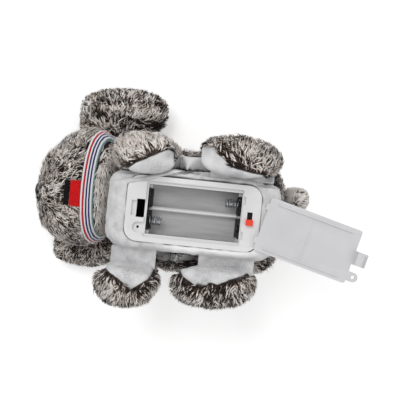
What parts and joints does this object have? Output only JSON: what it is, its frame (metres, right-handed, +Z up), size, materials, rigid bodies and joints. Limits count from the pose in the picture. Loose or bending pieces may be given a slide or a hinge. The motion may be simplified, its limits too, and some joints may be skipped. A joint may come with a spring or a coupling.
{
  "type": "electric walking plush dog",
  "caption": "Plush dog on its back with its battery cover taken off: open cell bay, slide switch, geared walking mechanism, hinged legs and floppy tail.",
  "frame": {"origin": "on the flat patch of the back that the dog lies on, under the middle of the battery bay", "axes": "+Z up out of the belly, -X towards the nose, +Y to the dog's left side"},
  "size_m": [0.2092, 0.1355, 0.0872],
  "materials": {
    "fur": "long grey-brown pile",
    "pale_fur": "long pale pile",
    "white_plush": "short white plush",
    "red_felt": "red felt",
    "black_felt": "black felt",
    "ribbon": "woven ribbon in red, white and navy stripes",
    "plastic": "satin off-white",
    "tray_plastic": "satin",
    "cover_plastic": "frosted",
    "nylon": "natural, smooth",
    "steel": "bright",
    "nickel": "nickel plated",
    "brass": "turned",
    "black_plastic": "gloss",
    "board": "solder mask",
    "knob_red": "moulded",
    "red_lead": "insulated",
    "black_lead": "insulated"
  },
  "bodies": {
    "dog": {"battery_housing": "plastic", "gear_housing": "tray_plastic", "contact_bridge": "nickel", "contact_negative": "nickel", "contact_positive": "nickel", "spring_rear": "steel", "spring_front": "steel", "switch_body": "black_plastic", "chassis_screw_1": "steel", "chassis_screw_2": "steel", "chassis_screw_3": "steel", "chassis_screw_4": "steel", "motor_can": "steel", "first_gear_axle": "steel", "second_gear_axle": "steel", "circuit_board": "board", "speaker": "black_plastic", "neck_post": "tray_plastic", "body_plush": "fur", "belly_panel": "white_plush", "head_plush": "fur", "nose": "black_plastic", "eye_left": "black_plastic", "eye_right": "black_plastic", "mouth_lining": "black_felt", "tongue": "red_felt", "collar_ribbon": "ribbon", "ear_left": "fur", "ear_right": "fur", "motor_lead_red": "red_lead", "motor_lead_black": "black_lead", "switch_lead": "black_lead", "speaker_lead_red": "red_lead", "speaker_lead_black": "black_lead"},
    "battery_door": {"battery_door": "cover_plastic"},
    "switch_knob": {"switch_knob": "knob_red"},
    "motor_rotor": {"motor_pinion": "brass"},
    "first_gear": {"first_gear": "nylon"},
    "second_gear": {"second_gear": "nylon"},
    "crank": {"crank_axle": "steel", "crank_gear": "nylon", "crank_disc_left": "nylon", "crank_disc_right": "nylon"},
    "rocker_front_left": {"rocker_front_left": "nylon"},
    "rocker_front_right": {"rocker_front_right": "nylon"},
    "rocker_rear_left": {"rocker_rear_left": "nylon"},
    "rocker_rear_right": {"rocker_rear_right": "nylon"},
    "link_left": {"side_link_left": "tray_plastic"},
    "link_right": {"side_link_right": "tray_plastic"},
    "leg_front_left": {"leg_front_left": "fur"},
    "leg_front_right": {"leg_front_right": "fur"},
    "leg_rear_left": {"leg_rear_left": "fur"},
    "leg_rear_right": {"leg_rear_right": "fur"},
    "tail": {"tail_rod": "steel", "tail_plush": "pale_fur"}
  },
  "joints": [
    {"name": "door_turn", "type": "hinge", "parent": "dog", "child": "battery_door", "pos_m": [0.0352, 0, 0.07275], "axis": [-0.1279, -0.9918, 0], "range_deg": [0, 180]},
    {"name": "switch_slide", "type": "slide", "parent": "dog", "child": "switch_knob", "axis": [0, 1, 0], "range_m": [0, 0.0044]},
    {"name": "crank_spin", "type": "hinge", "parent": "dog", "child": "crank", "pos_m": [0.01145, 0, 0.032], "axis": [0, 1, 0], "continuous": true},
    {"name": "second_gear_spin", "type": "hinge", "parent": "dog", "child": "second_gear", "pos_m": [-0.0007, 0.0116, 0.032], "axis": [0, 1, 0], "continuous": true},
    {"name": "first_gear_spin", "type": "hinge", "parent": "dog", "child": "first_gear", "pos_m": [-0.01285, 0.015, 0.032], "axis": [0, 1, 0], "continuous": true},
    {"name": "motor_spin", "type": "hinge", "parent": "dog", "child": "motor_rotor", "pos_m": [-0.025, 0.013, 0.032], "axis": [0, 1, 0], "continuous": true},
    {"name": "swing_front_left", "type": "hinge", "parent": "dog", "child": "rocker_front_left", "pos_m": [-0.0315, 0.034, 0.044], "axis": [0, 1, 0], "range_deg": [-17, 7]},
    {"name": "swing_rear_left", "type": "hinge", "parent": "dog", "child": "rocker_rear_left", "pos_m": [0.03, 0.034, 0.044], "axis": [0, 1, 0], "range_deg": [-17, 7]},
    {"name": "swing_front_right", "type": "hinge", "parent": "dog", "child": "rocker_front_right", "pos_m": [-0.0315, -0.034, 0.044], "axis": [0, 1, 0], "range_deg": [-7, 17]},
    {"name": "swing_rear_right", "type": "hinge", "parent": "dog", "child": "rocker_rear_right", "pos_m": [0.03, -0.034, 0.044], "axis": [0, 1, 0], "range_deg": [-7, 17]},
    {"name": "link_left_pivot", "type": "hinge", "parent": "rocker_front_left", "child": "link_left", "pos_m": [-0.03255, 0.0232, 0.03205], "axis": [0, 1, 0], "range_deg": [-7, 17]},
    {"name": "link_right_pivot", "type": "hinge", "parent": "rocker_front_right", "child": "link_right", "pos_m": [-0.03045, -0.0232, 0.03205], "axis": [0, 1, 0], "range_deg": [-17, 7]},
    {"name": "splay_front_left", "type": "hinge", "parent": "rocker_front_left", "child": "leg_front_left", "pos_m": [-0.0315, 0.034, 0.044], "axis": [-0.9962, 0, 0.0872], "range_deg": [0, 33]},
    {"name": "splay_rear_left", "type": "hinge", "parent": "rocker_rear_left", "child": "leg_rear_left", "pos_m": [0.03, 0.034, 0.044], "axis": [-0.9962, 0, 0.0872], "range_deg": [-3, 28]},
    {"name": "splay_front_right", "type": "hinge", "parent": "rocker_front_right", "child": "leg_front_right", "pos_m": [-0.0315, -0.034, 0.044], "axis": [-0.9962, 0, -0.0872], "range_deg": [-8, 19]},
    {"name": "splay_rear_right", "type": "hinge", "parent": "rocker_rear_right", "child": "leg_rear_right", "pos_m": [0.03, -0.034, 0.044], "axis": [-0.9962, 0, -0.0872], "range_deg": [-16, 8]},
    {"name": "tail_wag", "type": "hinge", "parent": "dog", "child": "tail", "pos_m": [0.0435, 0, 0.04275], "axis": [0, 0, 1], "range_deg": [-60, 0]}
  ],
  "couplings": [
    {"joint": "first_gear_spin", "follows": "motor_spin", "ratio": -0.25},
    {"joint": "second_gear_spin", "follows": "motor_spin", "ratio": 0.0625},
    {"joint": "crank_spin", "follows": "motor_spin", "ratio": -0.015625},
    {"joint": "swing_rear_left", "follows": "swing_front_left", "ratio": 1},
    {"joint": "swing_front_right", "follows": "swing_front_left", "ratio": -1},
    {"joint": "swing_rear_right", "follows": "swing_front_left", "ratio": -1},
    {"joint": "link_left_pivot", "follows": "swing_front_left", "ratio": -1},
    {"joint": "link_right_pivot", "follows": "swing_front_left", "ratio": 1}
  ]
}
